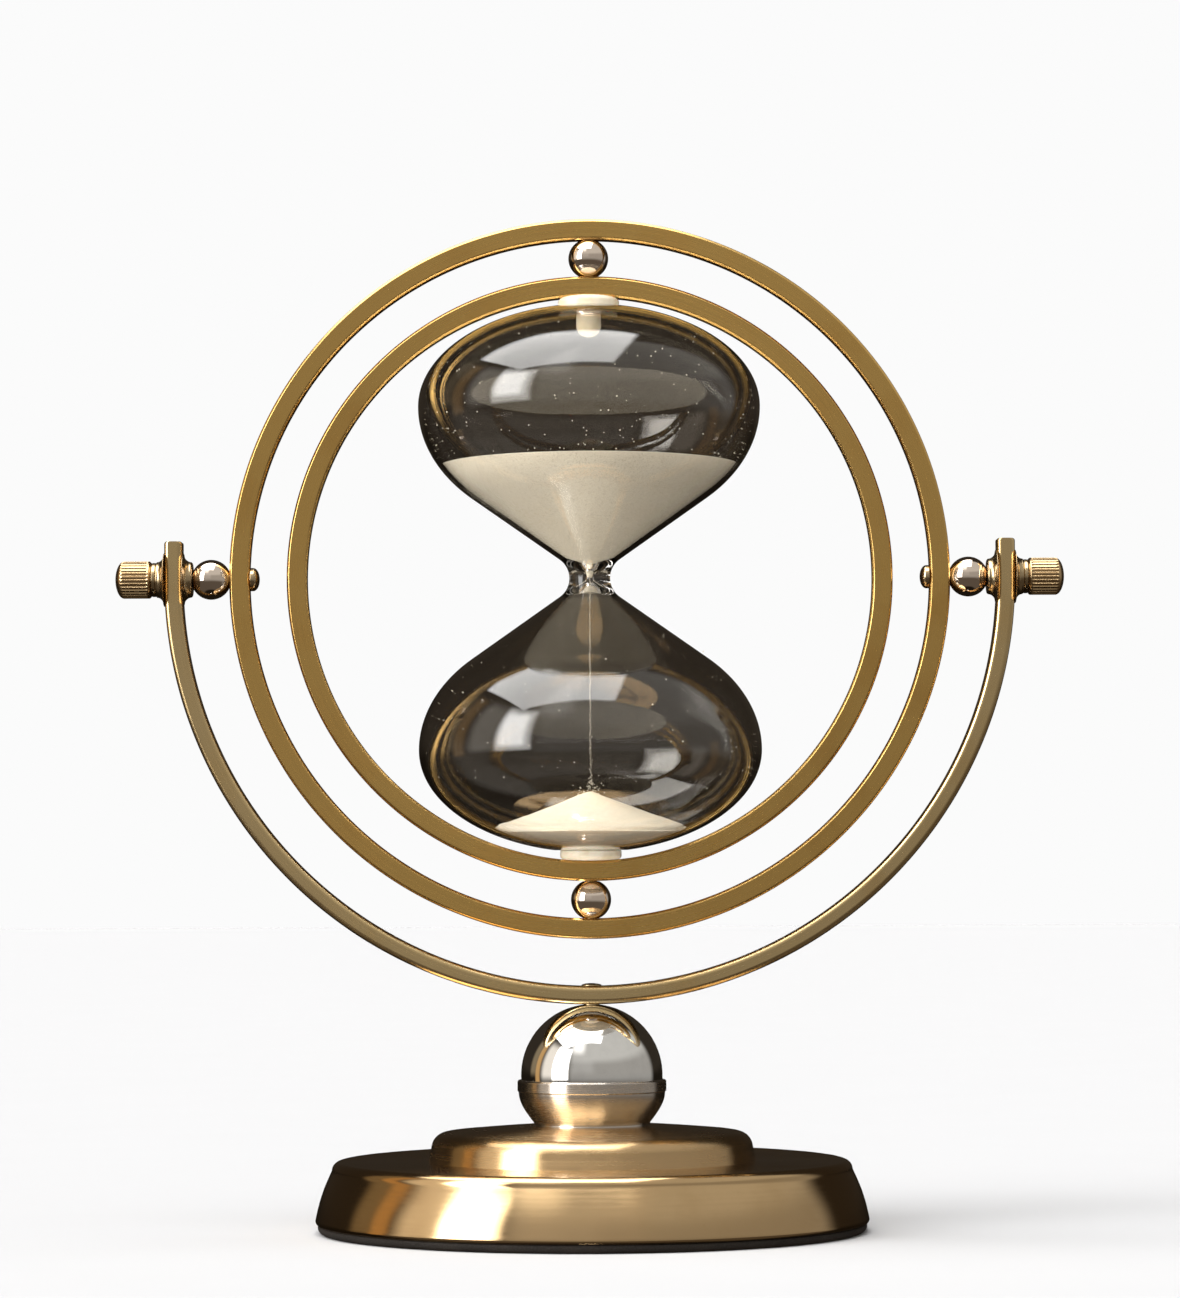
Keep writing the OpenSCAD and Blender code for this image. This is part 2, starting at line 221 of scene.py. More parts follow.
def upright(radial, across, along):
    """Places a turned point about the Z axis, its heights from the table."""
    return (radial, across, along)


def on_side(side):
    """Places a turned point about the tumble axis, outward on one side."""
    return lambda radial, across, along: (side * along, radial, AXIS_Z + across)


def on_pole(up):
    """Places a turned point about the Z axis, outward from the middle of the rings."""
    return lambda radial, across, along: (radial, across, AXIS_Z + up * along)


def in_ring_plane(radial, across, along):
    """Places a turned point about the Y axis through the middle of the rings."""
    return (radial, along, AXIS_Z + across)


def lathe(name, outline, place=upright, steps=SMALL_STEPS, closed=False, reshape=None, sharp=CREASE):
    """A turned piece. The outline holds [radius, along] points, and ends on the axis unless it is closed.
    reshape, if given, turns a point's radius, along and angle into its new radius and along."""
    vertices = []
    rows = []
    for radius, along in outline:
        first = len(vertices)
        if not closed and radius < 1e-6:
            rows.append([first] * steps)
            vertices.append(place(0, 0, along))
            continue
        rows.append(list(range(first, first + steps)))
        for k in range(steps):
            angle = 2 * math.pi * k / steps
            r, a = (radius, along) if reshape is None else reshape(radius, along, angle)
            vertices.append(place(r * math.cos(angle), r * math.sin(angle), a))
    faces = []
    pairs = list(zip(rows, rows[1:]))
    if closed:
        pairs.append((rows[-1], rows[0]))
    for lower, upper in pairs:
        for k in range(steps):
            after = (k + 1) % steps
            corners = [lower[k], lower[after], upper[after], upper[k]]
            face = [c for i, c in enumerate(corners) if c != corners[i - 1]]
            if len(face) > 2:
                faces.append(face)
    return new_object(name, vertices, faces, sharp)


def turned(name, outline, place=upright, steps=SMALL_STEPS, edge=0.2, closed=False, reshape=None):
    """A turned piece whose outline's corners are softened and whose flats stay flat."""
    shaped = brace(soften(outline, edge, closed=closed), closed=closed)
    return lathe(name, shaped, place, steps, closed, reshape)


def sweep(name, section, stations, sharp=CREASE):
    """A closed bar. Each station is a centre, the section's outward direction and its scale along that."""
    vertices = []
    count = len(section)
    for (x, z), (out_x, out_z), scale in stations:
        for u, v in section:
            vertices.append((x + out_x * u * scale, v, z + out_z * u * scale))
    faces = []
    for here in range(0, count * (len(stations) - 1), count):
        for k in range(count):
            after = (k + 1) % count
            faces.append([here + k, here + after, here + count + after, here + count + k])
    faces.append(list(range(count)))
    faces.append(list(range(len(vertices) - count, len(vertices))))
    return new_object(name, vertices, faces, sharp)


def carve(obj, cutter):
    """Cuts the cutter's shape out of obj, for good, and removes the cutter."""
    modifier = obj.modifiers.new("cut", "BOOLEAN")
    modifier.operation = "DIFFERENCE"
    modifier.solver = "EXACT"
    modifier.object = cutter
    bpy.context.view_layer.update()
    evaluated = obj.evaluated_get(bpy.context.evaluated_depsgraph_get())
    carved = bpy.data.meshes.new_from_object(evaluated)
    obj.modifiers.clear()
    obj.data = carved
    carved.shade_smooth()
    carved.set_sharp_from_angle(angle=math.radians(CREASE))
    bpy.data.objects.remove(cutter)


def drill(obj, radius, middle, place):
    """Drills a hole through a bar whose middle is that far from the centre of the rings."""
    start = middle - 6
    end = middle + 6
    outline = [(0, start), (radius, start), (radius, end), (0, end)]
    carve(obj, lathe("drill", outline, place, 48))


def scatter(name, spots, seed, flatness=0.75):
    """Many small rough grains in one mesh. Each spot is a centre and a radius."""
    chance = random.Random(seed)
    vertices = []
    faces = []
    ball = bmesh.new()
    bmesh.ops.create_icosphere(ball, subdivisions=1, radius=1)
    shape = [v.co.copy() for v in ball.verts]
    corners = [[v.index for v in f.verts] for f in ball.faces]
    ball.free()
    for centre, radius in spots:
        start = len(vertices)
        squash = Vector((1, chance.uniform(flatness, 1), chance.uniform(flatness, 1)))
        spin = Quaternion((chance.random(), chance.random(), chance.random()), chance.uniform(0, 6))
        for v in shape:
            grain = spin @ (v * squash) * radius * chance.uniform(0.85, 1.1)
            vertices.append(Vector(centre) + grain)
        faces += [[start + c for c in face] for face in corners]
    return new_object(name, vertices, faces, sharp=180)


# ---- Node graphs ----

class Graph:
    """A node tree, with short ways to add to it. Points are in millimetres."""

    def __init__(self, tree):
        self.tree = tree
        tree.nodes.clear()

    def add(self, kind, **settings):
        node = self.tree.nodes.new(kind)
        for name, value in settings.items():
            setattr(node, name, value)
        return node

    def feed(self, socket, value):
        if isinstance(value, bpy.types.NodeSocket):
            self.tree.links.new(value, socket)
        else:
            socket.default_value = value

    def math(self, operation, *values):
        node = self.add("ShaderNodeMath", operation=operation)
        for socket, value in zip(node.inputs, values):
            self.feed(socket, value)
        return node.outputs[0]

    def vector(self, operation, *values):
        node = self.add("ShaderNodeVectorMath", operation=operation)
        for socket, value in zip(node.inputs, values):
            self.feed(socket, value)
        return node.outputs["Value"] if operation == "LENGTH" else node.outputs["Vector"]

    def scaled(self, vector, factor):
        node = self.add("ShaderNodeVectorMath", operation="SCALE")
        self.feed(node.inputs[0], vector)
        self.feed(node.inputs["Scale"], factor)
        return node.outputs["Vector"]

    def split(self, vector):
        node = self.add("ShaderNodeSeparateXYZ")
        self.feed(node.inputs[0], vector)
        return node.outputs[0], node.outputs[1], node.outputs[2]

    def join(self, x, y, z):
        node = self.add("ShaderNodeCombineXYZ")
        for socket, value in zip(node.inputs, (x, y, z)):
            self.feed(socket, value)
        return node.outputs[0]

    def ramp(self, value, start, end, first=0.0, last=1.0):
        """A smooth step of value, from first at start to last at end."""
        node = self.add("ShaderNodeMapRange", interpolation_type="SMOOTHSTEP")
        for socket, given in zip(node.inputs, (value, start, end, first, last)):
            self.feed(socket, given)
        return node.outputs[0]

    def noise(self, vector, scale, detail=3.0, rough=0.55):
        node = self.add("ShaderNodeTexNoise")
        self.feed(node.inputs["Vector"], vector)
        self.feed(node.inputs["Scale"], scale)
        self.feed(node.inputs["Detail"], detail)
        self.feed(node.inputs["Roughness"], rough)
        return node.outputs[0]

    def mix(self, share, first, second):
        """A colour between two colours."""
        node = self.add("ShaderNodeMix", data_type="RGBA")
        self.feed(node.inputs[0], share)
        self.feed(node.inputs[6], first)
        self.feed(node.inputs[7], second)
        return node.outputs[2]

    def bump(self, height, depth, strength=1.0, normal=None):
        """A normal from a height that runs from 0 to 1, over that depth in millimetres."""
        node = self.add("ShaderNodeBump")
        self.feed(node.inputs["Strength"], strength)
        self.feed(node.inputs["Distance"], depth * MM)
        self.feed(node.inputs["Height"], height)
        if normal is not None:
            self.feed(node.inputs["Normal"], normal)
        return node.outputs[0]

    def spot(self, centre_m):
        """The place on the piece, in millimetres from a centre."""
        place = self.add("ShaderNodeTexCoord").outputs["Object"]
        return self.scaled(self.vector("SUBTRACT", place, centre_m), 1 / MM)

    def around(self, spot, axis):
        """Distance from an axis, distance along it, and the direction round it."""
        x, y, z = self.split(spot)
        first, second, along = {"X": (y, z, x), "Y": (x, z, y), "Z": (x, y, z)}[axis]
        radius = self.vector("LENGTH", self.join(first, second, 0.0))
        line = {"X": (1, 0, 0), "Y": (0, 1, 0), "Z": (0, 0, 1)}[axis]
        turn = self.add("ShaderNodeVectorTransform", vector_type="VECTOR")
        turn.convert_from = "OBJECT"
        turn.convert_to = "WORLD"
        self.feed(turn.inputs[0], self.vector("CROSS_PRODUCT", line, spot))
        return radius, along, self.vector("NORMALIZE", turn.outputs[0])


def rgba(colour):
    """The colour with full alpha."""
    return (*colour, 1.0)


def new_material(name):
    """A material's graph and its one shader."""
    material = bpy.data.materials.new(name)
    material.use_nodes = True
    graph = Graph(material.node_tree)
    shader = graph.add("ShaderNodeBsdfPrincipled")
    output = graph.add("ShaderNodeOutputMaterial")
    graph.feed(output.inputs["Surface"], shader.outputs[0])
    return material, graph, shader


def coat(g, shader, colour, roughness, normal):
    """Feeds a shader's three main inputs."""
    g.feed(shader.inputs["Base Color"], colour)
    g.feed(shader.inputs["Roughness"], roughness)
    g.feed(shader.inputs["Normal"], normal)


# ---- Materials ----

def turned_metal(name, colour, aged, rough, axis, centre_m=(0, 0, 0), lines=2.2, cut=0.012, spread=0.5,
                 patches=0.06, age=0.45, corner_highlight=None, streaks=0.16, combed=False):
    """Metal with fine lines that run round an axis, soft patches of patina and a broken-up gloss.

    The gloss spreads along the lines, or across them if it is combed. If given, the corner share is made
    from the graph, the radius and the distance along the axis, and is 1 on the corners: there the colour is
    brightened as a painted highlight and the gloss is made higher."""
    material, g, shader = new_material(name)
    spot = g.spot(centre_m)
    radius, along, tangent = g.around(spot, axis)
    drift = g.noise(spot, 0.08, 2.0)
    across = g.math("MULTIPLY", radius, lines)
    strokes = g.join(across, g.math("MULTIPLY", along, lines), g.math("MULTIPLY", drift, 3.0))
    brushing = g.noise(strokes, 1.0, 5.0, 0.62)
    bloom = g.noise(spot, patches, 4.0, 0.6)
    specks = g.noise(spot, 1.7, 3.0, 0.6)
    tarnish = g.math("MULTIPLY", g.ramp(bloom, 0.42, 0.72), age)
    streaked = g.math("ADD", tarnish, g.math("MULTIPLY", g.ramp(brushing, 0.45, 0.75), streaks))
    shade = g.mix(g.math("MINIMUM", streaked, 1.0), rgba(colour), rgba(aged))
    pitted = g.mix(g.ramp(specks, 0.66, 0.8, 0.0, 0.35), shade, rgba([0.7 * c for c in aged]))
    roughness = g.math("ADD", g.ramp(brushing, 0.3, 0.7, 0.85 * rough, 1.2 * rough),
                       g.ramp(bloom, 0.35, 0.75, -0.02, 0.05))
    # Painted highlight: the corners' colour is brightened to stand for light along the chamfers, and they
    # are made glossier.
    if corner_highlight is not None:
        highlit_share = corner_highlight(g, radius, along)
        bright = rgba([min(1.0, 1.25 * c + 0.08) for c in colour])
        pitted = g.mix(g.math("MULTIPLY", highlit_share, 0.6), pitted, bright)
        roughness = g.math("SUBTRACT", roughness, g.math("MULTIPLY", highlit_share, 0.08))
    coat(g, shader, pitted, g.math("MAXIMUM", roughness, 0.03), g.bump(brushing, cut))
    if combed:
        facing = g.add("ShaderNodeNewGeometry").outputs["Normal"]
        tangent = g.vector("NORMALIZE", g.vector("CROSS_PRODUCT", facing, tangent))
    g.feed(shader.inputs["Tangent"], tangent)
    shader.inputs["Metallic"].default_value = 1.0
    shader.inputs["Anisotropic"].default_value = spread
    return material


def polished_metal(name, colour, rough, centre_m=(0, 0, 0)):
    """Mirror-bright metal with faint polishing haze, hair scratches and a few dull specks."""
    material, g, shader = new_material(name)
    spot = g.spot(centre_m)
    haze = g.noise(spot, 0.18, 4.0, 0.6)
    scratches = g.noise(g.vector("MULTIPLY", spot, (0.5, 6.0, 3.0)), 1.0, 4.0, 0.7)
    dust = g.noise(spot, 2.6, 2.0, 0.5)
    tint = g.mix(g.ramp(haze, 0.4, 0.75, 0.0, 0.5), rgba(colour), rgba([0.86 * c for c in colour]))
    dulled = g.mix(g.ramp(dust, 0.72, 0.8, 0.0, 0.4), tint, rgba([0.55 * c for c in colour]))
    roughness = g.math("ADD", g.ramp(haze, 0.35, 0.75, rough, rough + 0.035),
                       g.ramp(scratches, 0.62, 0.75, 0.0, 0.05))
    coat(g, shader, dulled, roughness, g.bump(scratches, 0.0012))
    shader.inputs["Metallic"].default_value = 1.0
    return material


def smoke_glass():
    """Smoke-tinted blown glass: faint thickness waves and a trace of handling haze."""
    material, g, shader = new_material("smoke_glass")
    spot = g.spot(CENTRE_M)
    waves = g.noise(g.vector("MULTIPLY", spot, (1.0, 1.0, 0.35)), 0.045, 1.0, 0.4)
    smudge = g.noise(spot, 0.09, 4.0, 0.6)
    tint = g.mix(g.ramp(waves, 0.3, 0.7), rgba((0.86, 0.845, 0.82)), rgba((0.82, 0.80, 0.77)))
    coat(g, shader, tint, g.ramp(smudge, 0.5, 0.8, 0.0, 0.02), g.bump(waves, 0.25))
    shader.inputs["IOR"].default_value = 1.5
    shader.inputs["Transmission Weight"].default_value = 1.0
    return material


def fine_sand(name, light, dark):
    """Pale sand: packed grains a fifth of a millimetre across, with darker and glassy ones among them."""
    material, g, shader = new_material(name)
    spot = g.spot(CENTRE_M)
    cells = g.add("ShaderNodeTexVoronoi")
    g.feed(cells.inputs["Vector"], spot)
    g.feed(cells.inputs["Scale"], 4.5)
    grain_r, grain_g, _ = g.split(cells.outputs["Color"])
    drift = g.noise(spot, 0.12, 3.0, 0.55)
    tone = g.math("ADD", g.math("MULTIPLY", grain_r, 0.45), g.math("MULTIPLY", drift, 0.5))
    shade = g.mix(g.ramp(tone, 0.2, 0.9), rgba(light), rgba(dark))
    speckled = g.mix(g.ramp(grain_g, 0.9, 0.96, 0.0, 0.5), shade, rgba((0.45, 0.36, 0.24)))
    coat(g, shader, speckled, g.ramp(grain_g, 0.0, 0.3, 0.45, 0.85),
         g.bump(cells.outputs["Distance"], 0.12, 0.6))
    return material


def cream_nylon():
    """Turned cream plastic with faint tool lines and slight yellowing."""
    material, g, shader = new_material("cream_nylon")
    spot = g.spot(CENTRE_M)
    radius, along, _ = g.around(spot, "Z")
    lines = g.noise(g.join(g.math("MULTIPLY", radius, 5.0), g.math("MULTIPLY", along, 5.0), 0.0), 1.0, 3.0)
    age = g.noise(spot, 0.25, 3.0)
    shade = g.mix(g.ramp(age, 0.35, 0.7), rgba((0.80, 0.73, 0.58)), rgba((0.70, 0.60, 0.42)))
    coat(g, shader, shade, g.ramp(lines, 0.3, 0.7, 0.32, 0.5), g.bump(lines, 0.02))
    shader.inputs["Subsurface Weight"].default_value = 0.15
    shader.inputs["Subsurface Scale"].default_value = 0.002
    return material


def dark_pad():
    """Near-black rubbery foam, matte and finely pitted."""
    material, g, shader = new_material("dark_pad")
    spot = g.spot((0, 0, 0))
    pits = g.noise(spot, 2.5, 4.0, 0.65)
    dust = g.noise(spot, 0.1, 3.0)
    dusty = g.ramp(dust, 0.4, 0.8, 0.0, 0.6)
    shade = g.mix(dusty, rgba((0.009, 0.006, 0.004)), rgba((0.022, 0.016, 0.011)))
    coat(g, shader, shade, g.ramp(pits, 0.3, 0.7, 0.7, 0.95), g.bump(pits, 0.1, 0.7))
    return material


def cast_iron():
    """Raw sand-cast iron with a coarse skin and patches of rust."""
    material, g, shader = new_material("cast_iron")
    spot = g.spot((0, 0, 0))
    skin = g.noise(spot, 0.9, 6.0, 0.65)
    rust = g.noise(spot, 0.15, 4.0, 0.6)
    shade = g.mix(g.ramp(skin, 0.3, 0.7), rgba((0.05, 0.05, 0.052)), rgba((0.13, 0.13, 0.135)))
    rusted = g.mix(g.ramp(rust, 0.55, 0.75, 0.0, 0.7), shade, rgba((0.2, 0.08, 0.03)))
    coat(g, shader, rusted, g.ramp(skin, 0.3, 0.7, 0.55, 0.85), g.bump(skin, 0.35))
    shader.inputs["Metallic"].default_value = 0.7
    return material


def ring_corner_highlight(middle_r, bar, depth, reach):
    """A share that is 1 on a ring's corners and falls to 0 over its faces, where the painted corner
    highlight goes.
    """
    def share(g, radius, along):
        across = g.math("DIVIDE", g.math("ABSOLUTE", g.math("SUBTRACT", radius, middle_r)), bar / 2)
        deep = g.math("DIVIDE", g.math("ABSOLUTE", along), depth / 2)
        return g.ramp(g.math("MINIMUM", across, deep), reach, 0.97)
    return share


BRASS = (0.63, 0.44, 0.235)
BRASS_AGED = (0.46, 0.27, 0.10)
CUP_BRASS = (0.61, 0.565, 0.52)
RING_BRASS = (0.66, 0.415, 0.13)
RING_AGED = (0.50, 0.275, 0.07)
YOKE_BRASS = (0.66, 0.49, 0.25)
YOKE_AGED = (0.56, 0.36, 0.13)
OLD_BRASS = (0.55, 0.42, 0.25)
OLD_BRASS_AGED = (0.30, 0.19, 0.08)
NUT_BRASS = (0.62, 0.44, 0.24)
NUT_AGED = (0.36, 0.21, 0.08)
CHAMPAGNE = (0.90, 0.77, 0.66)
CHROME = (0.88, 0.87, 0.85)
STEEL = (0.52, 0.52, 0.53)
STEEL_AGED = (0.3, 0.29, 0.28)


def combed_brass(name, colour, rough, lines, cut, streaks):
    """Lathe-turned brass whose gloss spreads across its lines."""
    return turned_metal(name, colour, BRASS_AGED, rough, "Z", lines=lines, cut=cut, spread=0.9,
                        age=0.15, streaks=streaks, combed=True)


def ring_brass(name, outer_r, age):
    """Brass brushed round a bar ring, with a painted highlight that brightens its corners."""
    return turned_metal(name, RING_BRASS, RING_AGED, 0.26, "Y", CENTRE_M, lines=3.0, cut=0.006, age=age,
                        corner_highlight=ring_corner_highlight(outer_r - RING_BAR / 2, RING_BAR, RING_DEPTH, 0.72))


spun_brass = combed_brass("spun_brass", BRASS, 0.155, 1.6, 0.0006, 0.04)
step_brass = combed_brass("step_brass", BRASS, 0.22, 1.6, 0.0006, 0.04)
cup_brass = combed_brass("cup_brass", CUP_BRASS, 0.23, 2.5, 0.0015, 0.06)
outer_ring_brass = ring_brass("outer_ring_brass", OUTER_R, 0.5)
inner_ring_brass = ring_brass("inner_ring_brass", INNER_R, 0.4)
# The half ring's brass, with the same painted highlight brightening its corners.
yoke_brass = turned_metal("yoke_brass", YOKE_BRASS, YOKE_AGED, 0.25, "Y", CENTRE_M, lines=2.6, cut=0.003,
                          age=0.4, corner_highlight=ring_corner_highlight(YOKE_MID_R, YOKE_BAR, YOKE_DEPTH, 0.6), streaks=0.08)
pivot_brass = turned_metal("pivot_brass", OLD_BRASS, OLD_BRASS_AGED, 0.2, "X", CENTRE_M, lines=4.0,
                           cut=0.002, age=0.5, streaks=0.08)
nut_brass = turned_metal("nut_brass", NUT_BRASS, NUT_AGED, 0.22, "X", CENTRE_M, lines=3.0, cut=0.002,
                         age=0.4, streaks=0.08)
pole_brass = turned_metal("pole_brass", OLD_BRASS, OLD_BRASS_AGED, 0.26, "Z", CENTRE_M, lines=4.0, age=0.6)
plain_steel = turned_metal("plain_steel", STEEL, STEEL_AGED, 0.35, "Z", lines=3.0, age=0.5)
polished_steel = polished_metal("polished_steel", CHROME, 0.035)
champagne_metal = polished_metal("champagne_metal", CHAMPAGNE, 0.05, CENTRE_M)
glass = smoke_glass()
packed_sand = fine_sand("packed_sand", (0.90, 0.83, 0.68), (0.80, 0.71, 0.54))
loose_sand = fine_sand("loose_sand", (0.87, 0.80, 0.66), (0.78, 0.69, 0.53))
nylon = cream_nylon()
pad = dark_pad()
iron = cast_iron()


def dress(piece, material, body, slot, *nodes):
    """Gives a piece its material, puts it under the body it moves with, and hides the CAD nodes it stands
    for.
    """
    piece.data.materials.clear()
    piece.data.materials.append(material)
    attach(piece, body)
    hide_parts(*nodes)
    return piece


# ---- Stand ----

PAD_TOP = high("base_pad").z
PAD_R = high("base_pad").x
BASE_R = high("base_shell").x
BASE_TOP = high("base_shell").z
SHOULDER_R = 64.6
SHELL_WALL = 1.5
STEP_R = high("base_step").x
STEP_TOP = high("base_step").z
STEP_EDGE_H = 7
STEP_EDGE = BASE_TOP + STEP_EDGE_H
CUP_R = high("ball_cup").x
LIP_Z = high("ball_cup").z
BALL_R = high("support_ball").x
BALL_Z = high("support_ball").z - math.sqrt(BALL_R ** 2 - ROD_HOLE_R ** 2)
INSIDE_Z = AXIS_Z - YOKE_OUTER_R + YOKE_BAR


def make_pad():
    """The pad under the shell, with a bevelled foot."""
    bevel = 1.2
    knee = (PAD_R - 0.3, 0.5)
    top = PAD_TOP - PRESS_GAP
    outline = [(0, 0), (PAD_R - bevel, 0), knee, (PAD_R, bevel), (PAD_R, top), (0, top)]
    piece = turned("pad", outline, steps=LATHE_STEPS, edge=0.6)
    dress(piece, pad, "stand", "dark_pad", "base_pad")


def make_shell():
    """The spun base: a rolled rim, a slightly bowed wall, a rounded shoulder and a flat top."""
    rim = 1.0
    bend = 2.2
    bow = 0.5
    wall_foot = PAD_TOP + rim
    wall_head = BASE_TOP - bend
    outside = arc(BASE_R - rim, wall_foot, rim, -85, 0, 10)
    for i in range(1, 24):
        share = i / 24
        outside.append((BASE_R + (SHOULDER_R - BASE_R) * share + bow * math.sin(math.pi * share),
                        wall_foot + (wall_head - wall_foot) * share))
    outside += arc(SHOULDER_R - bend, wall_head, bend, 0, 90, 14)
    inside = arc(SHOULDER_R - bend, wall_head, bend - SHELL_WALL, 90, 0, 4)
    inside += [(BASE_R - rim - SHELL_WALL, wall_foot), (BASE_R - rim - SHELL_WALL, PAD_TOP)]
    top = [(ROD_HOLE_R, BASE_TOP - SHELL_WALL), (ROD_HOLE_R, BASE_TOP)]
    outline = top + outside[::-1] + inside[::-1]
    piece = lathe("shell", brace(outline, closed=True), steps=LATHE_STEPS, closed=True, sharp=40)
    dress(piece, spun_brass, "stand", "brushed_brass", "base_shell")


def make_step():
    """A step with a leaning side, a rounded edge and a low dome that rises to the cup."""
    soft = 3.8
    lean = 0.7
    hub_r = 12
    flat_r = 15
    edge_r = STEP_R - lean - soft
    outline = [(ROD_HOLE_R, BASE_TOP), (hub_r, BASE_TOP), (hub_r, STEP_TOP - SHELL_WALL)]
    outline += [(flat_r, STEP_TOP - SHELL_WALL), (edge_r - SHELL_WALL, STEP_EDGE - SHELL_WALL)]
    outline += [(STEP_R - soft - SHELL_WALL, BASE_TOP), (STEP_R, BASE_TOP)]
    outline += arc(edge_r, STEP_EDGE - soft, soft, 12, 84, 14)
    for i in range(23, 0, -1):
        share = i / 24
        sink = (STEP_TOP - STEP_EDGE) * share ** 1.3
        outline.append((flat_r + (edge_r - flat_r) * share, STEP_TOP - sink))
    outline += [(flat_r, STEP_TOP), (ROD_HOLE_R, STEP_TOP)]
    piece = lathe("step", brace(outline, closed=True), steps=LATHE_STEPS, closed=True, sharp=40)
    dress(piece, step_brass, "stand", "brushed_brass", "base_step")


def make_cup():
    """A short waisted neck, a bowl that swells to a plain lip, and a round seat for the ball."""
    neck_h = 0.8
    foot_r = 14.5
    lip_h = 3.0
    bead = 0.3
    waist = 0.15
    belly_z = LIP_Z - lip_h
    bowl_h = belly_z - STEP_TOP - neck_h
    seat_r = BALL_R + RUNNING_GAP
    outline = [(foot_r, STEP_TOP)]
    outline += oval(foot_r, STEP_TOP + neck_h / 2, waist, neck_h / 2 - 0.1, 270, 90, 8)
    for i in range(31):
        share = i / 30
        swell = math.sin(math.pi / 2 * share)
        outline.append((foot_r + (CUP_R - bead - foot_r) * swell, STEP_TOP + neck_h + bowl_h * share))
    outline += [(CUP_R, belly_z + bead)]
    outline += arc(CUP_R - 0.5, LIP_Z - 0.5, 0.5, 0, 90, 6)
    lip_angle = math.degrees(math.asin((LIP_Z - BALL_Z) / seat_r))
    foot_angle = math.degrees(math.asin((STEP_TOP - BALL_Z) / seat_r))
    outline += arc(0, BALL_Z, seat_r, lip_angle, foot_angle, 24)
    piece = lathe("cup", brace(outline, closed=True), steps=LATHE_STEPS, closed=True, sharp=40)
    dress(piece, cup_brass, "stand", "brushed_brass", "ball_cup")


def make_ball():
    """The polished ball, cut flat just above the step and drilled for the tie rod."""
    foot = STEP_TOP + RUNNING_GAP
    foot_angle = math.degrees(math.asin((foot - BALL_Z) / BALL_R))
    top_angle = math.degrees(math.acos(ROD_HOLE_R / BALL_R))
    outline = arc(0, BALL_Z, BALL_R, foot_angle, top_angle, 96)
    outline += [(ROD_HOLE_R, foot)]
    piece = lathe("ball", outline, steps=192, closed=True, sharp=40)
    dress(piece, polished_steel, "stand", "polished_steel", "support_ball")


def make_yoke():
    """The half ring with its two straight arms, bevelled at their tips."""
    half = YOKE_BAR / 2
    tip = [(0.01, ARM_TOP), (half - YOKE_TIP, ARM_TOP)]
    tip += [(half, ARM_TOP - YOKE_TIP), (half, ARM_TOP - 2 * YOKE_TIP)]
    profile = soften(tip, 0.25, 4)[1:]
    arm = [(height, width / half) for width, height in profile]
    arm += [(ARM_TOP * share, 1) for share in (0.6, 0.4, 0.2)]
    section = brace(rectangle(YOKE_BAR, YOKE_DEPTH, YOKE_ROUND, False), closed=True)
    stations = [((-YOKE_MID_R, AXIS_Z + height), (-1, 0), scale) for height, scale in arm]
    for i in range(RING_STEPS // 2 + 1):
        angle = math.pi + math.pi * 2 * i / RING_STEPS
        outward = (math.cos(angle), math.sin(angle))
        stations.append(((YOKE_MID_R * outward[0], AXIS_Z + YOKE_MID_R * outward[1]), outward, 1))
    stations += [((YOKE_MID_R, AXIS_Z + height), (1, 0), scale) for height, scale in arm[::-1]]
    piece = sweep("yoke", section, stations)
    drill(piece, ROD_HOLE_R, YOKE_MID_R, on_pole(-1))
    for side in (-1, 1):
        drill(piece, HOLE_R, YOKE_MID_R, on_side(side))
    dress(piece, yoke_brass, "stand", "satin_brass", "half_ring")


def collar_outline(small_end, arm_face):
    """A collar from its small end to the arm's face, flaring like a trumpet."""
    small_r = 4.45
    flare_r = 6.7
    toward = 1 if arm_face > small_end else -1
    edge = 0.3 * toward
    rim = 0.15 * toward
    depth = arm_face - small_end - edge - rim
    outline = [(HOLE_R, small_end), (small_r - 0.3, small_end)]
    outline += oval(flare_r, small_end + edge, flare_r - small_r, depth, 180, 90, 14)
    outline += [(flare_r, arm_face), (HOLE_R, arm_face)]
    return outline


def make_collars():
    """The flared collars on both faces of each arm, and the washers outside them."""
    arm_in = YOKE_OUTER_R - YOKE_BAR
    washer_l = 0.9
    for name, side in mirrored_sides():
        start = span_x(f"{name}_inner_collar")[0]
        end = span_x(f"{name}_outer_collar")[1]
        for kind, small_end, arm_face in (("inner", start, arm_in), ("outer", end, YOKE_OUTER_R)):
            outline = collar_outline(small_end, arm_face)
            collar = turned(f"{name}_{kind}_flare", outline, on_side(side), edge=0.12, closed=True)
            dress(collar, pivot_brass, "stand", "aged_brass", f"{name}_{kind}_collar")
        washer_r = high(f"{name}_washer").y
        washer_end = end + washer_l
        outline = [(HOLE_R, end), (washer_r, end), (washer_r, washer_end), (HOLE_R, washer_end)]
        washer = turned(f"{name}_thin_washer", outline, on_side(side), edge=0.16, closed=True)
        dress(washer, pivot_brass, "stand", "aged_brass", f"{name}_washer")


def make_tie_rod():
    """The rod through the stand, riveted over as a low dome inside the half ring."""
    head_r = high("tie_rod").x
    foot = low("tie_rod").z
    top = high("tie_rod").z
    brim = 0.1
    outline = [(0, foot), (ROD_R, foot), (ROD_R, INSIDE_Z), (head_r, INSIDE_Z + brim / 2)]
    outline += oval(0, INSIDE_Z + brim, head_r, top - INSIDE_Z - brim, 0, 90, 10)
    outline[-1] = (0, top)
    piece = turned("rivet", outline, edge=0.05)
    dress(piece, pole_brass, "stand", "aged_brass", "tie_rod")


# ---- Outer ring ----

